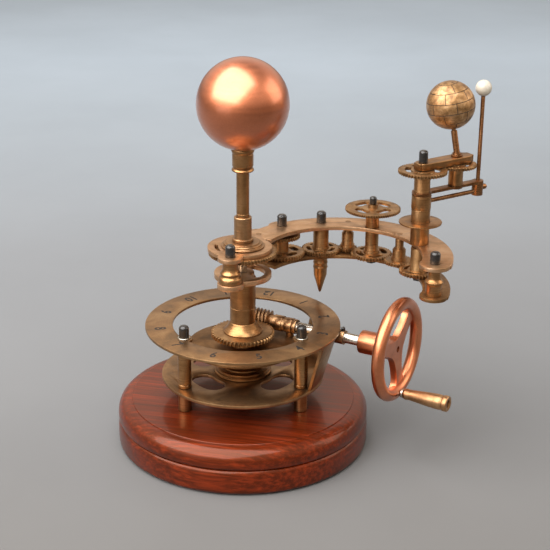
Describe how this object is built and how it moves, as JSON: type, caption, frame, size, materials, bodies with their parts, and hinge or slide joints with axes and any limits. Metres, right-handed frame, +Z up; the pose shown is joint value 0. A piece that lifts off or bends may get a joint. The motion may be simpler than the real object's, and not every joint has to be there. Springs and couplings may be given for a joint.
{
  "type": "orrery",
  "caption": "Geared orrery on a turned wooden base: a hand crank turns a curved arm that carries a tilted globe and moon about a central sun ball.",
  "frame": {"origin": "centre of the base's underside", "axes": "+Z up along the central column, +X towards the arm's Earth and Moon head at rest, +Y to the back"},
  "size_m": [0.2783, 0.19, 0.2949],
  "materials": {
    "mahogany": "gloss",
    "felt": "matte",
    "plate_bronze": "brushed",
    "turned_brass": "satin",
    "gear_brass": "satin",
    "copper_satin": "satin",
    "globe_brass": "brushed",
    "grip_brass": "satin",
    "black_steel": "gloss",
    "bright_steel": "polished",
    "moon_white": "gloss"
  },
  "bodies": {
    "root": {"base_lower_disc": "mahogany", "base_upper_disc": "mahogany", "base_felt": "felt", "base_bolt": "black_steel", "plate_spacers": "turned_brass", "lower_plate": "plate_bronze", "ring_pillars": "turned_brass", "calendar_ring": "plate_bronze", "ring_washers": "turned_brass", "ring_nuts": "black_steel", "hub_flange": "turned_brass", "bridge_plate": "plate_bronze", "worm_bearings": "gear_brass", "crank_bracket": "plate_bronze", "crank_bush": "turned_brass", "bush_screw": "black_steel", "centre_spindle": "bright_steel", "fixed_gear": "gear_brass", "sun_washers": "turned_brass", "sun_collar": "turned_brass", "sun_rod": "turned_brass", "sun_socket": "turned_brass", "sun_ball": "copper_satin"},
    "crank": {"crank_shaft": "bright_steel", "worm": "gear_brass", "shaft_collars": "turned_brass", "handwheel": "copper_satin", "handle_pin": "bright_steel"},
    "grip": {"handle_grip": "grip_brass"},
    "arm": {"worm_wheel": "gear_brass", "bell_collar": "turned_brass", "column_tube": "turned_brass", "hub_plate": "plate_bronze", "bracket_post": "turned_brass", "hub_wheel": "gear_brass", "upper_arm_plate": "plate_bronze", "lower_arm_plate": "plate_bronze", "arm_studs": "black_steel", "tip_pillar": "turned_brass", "arm_top_nuts": "black_steel", "arm_bottom_nuts": "black_steel", "date_pointer": "turned_brass", "post_tube": "turned_brass", "post_gear": "gear_brass", "month_disc": "plate_bronze"},
    "idler": {"idler_gear": "gear_brass"},
    "first": {"first_arbor": "gear_brass"},
    "second": {"second_arbor": "turned_brass"},
    "third": {"third_arbor": "turned_brass"},
    "fourth": {"fourth_arbor": "gear_brass"},
    "fifth": {"fifth_arbor": "turned_brass"},
    "head": {"head_arbor": "gear_brass", "head_bar": "turned_brass", "head_nuts": "black_steel", "head_collar": "turned_brass", "moon_frame": "plate_bronze", "moon_ball": "moon_white", "earth_spindle": "turned_brass"},
    "planet_gear": {"earth_gear": "gear_brass"},
    "globe": {"earth_globe": "globe_brass"}
  },
  "joints": [
    {"name": "arm_turn", "type": "hinge", "parent": "root", "child": "arm", "pos_m": [0, 0, 0.1], "axis": [0, 0, 1], "continuous": true},
    {"name": "crank_turn", "type": "hinge", "parent": "root", "child": "crank", "pos_m": [0.01525, 0.02641, 0.0855], "axis": [0.866, -0.5, 0], "continuous": true},
    {"name": "grip_spin", "type": "hinge", "parent": "crank", "child": "grip", "pos_m": [0.11311, -0.03009, 0.0512], "axis": [0.866, -0.5, 0], "continuous": true},
    {"name": "idler_turn", "type": "hinge", "parent": "arm", "child": "idler", "pos_m": [0.01211, 0.02704, 0.146], "axis": [0, 0, 1], "continuous": true},
    {"name": "first_turn", "type": "hinge", "parent": "arm", "child": "first", "pos_m": [0.03001, 0.04675, 0.14], "axis": [0, 0, 1], "continuous": true},
    {"name": "second_turn", "type": "hinge", "parent": "arm", "child": "second", "pos_m": [0.06057, 0.05437, 0.133], "axis": [0, 0, 1], "continuous": true},
    {"name": "third_turn", "type": "hinge", "parent": "arm", "child": "third", "pos_m": [0.08147, 0.05646, 0.133], "axis": [0, 0, 1], "continuous": true},
    {"name": "fourth_turn", "type": "hinge", "parent": "arm", "child": "fourth", "pos_m": [0.09899, 0.04357, 0.133], "axis": [0, 0, 1], "continuous": true},
    {"name": "fifth_turn", "type": "hinge", "parent": "arm", "child": "fifth", "pos_m": [0.11833, 0.02696, 0.133], "axis": [0, 0, 1], "continuous": true},
    {"name": "head_turn", "type": "hinge", "parent": "arm", "child": "head", "pos_m": [0.13035, 0.00619, 0.133], "axis": [0, 0, 1], "continuous": true},
    {"name": "planet_gear_turn", "type": "hinge", "parent": "head", "child": "planet_gear", "pos_m": [0.15707, 0.02288, 0.21], "axis": [0, 0, 1], "continuous": true},
    {"name": "globe_spin", "type": "hinge", "parent": "head", "child": "globe", "pos_m": [0.15707, 0.02288, 0.2183], "axis": [-0.1736, 0, 0.9848], "continuous": true}
  ],
  "couplings": [
    {"joint": "crank_turn", "follows": "arm_turn", "ratio": 12},
    {"joint": "idler_turn", "follows": "arm_turn", "ratio": 1.2571},
    {"joint": "first_turn", "follows": "arm_turn", "ratio": -1.2222},
    {"joint": "second_turn", "follows": "arm_turn", "ratio": 1.4795},
    {"joint": "third_turn", "follows": "arm_turn", "ratio": -3.1235},
    {"joint": "fourth_turn", "follows": "arm_turn", "ratio": 1.4056},
    {"joint": "fifth_turn", "follows": "arm_turn", "ratio": -2.0079},
    {"joint": "head_turn", "follows": "arm_turn", "ratio": 1.5617},
    {"joint": "planet_gear_turn", "follows": "arm_turn", "ratio": 1.8905}
  ]
}
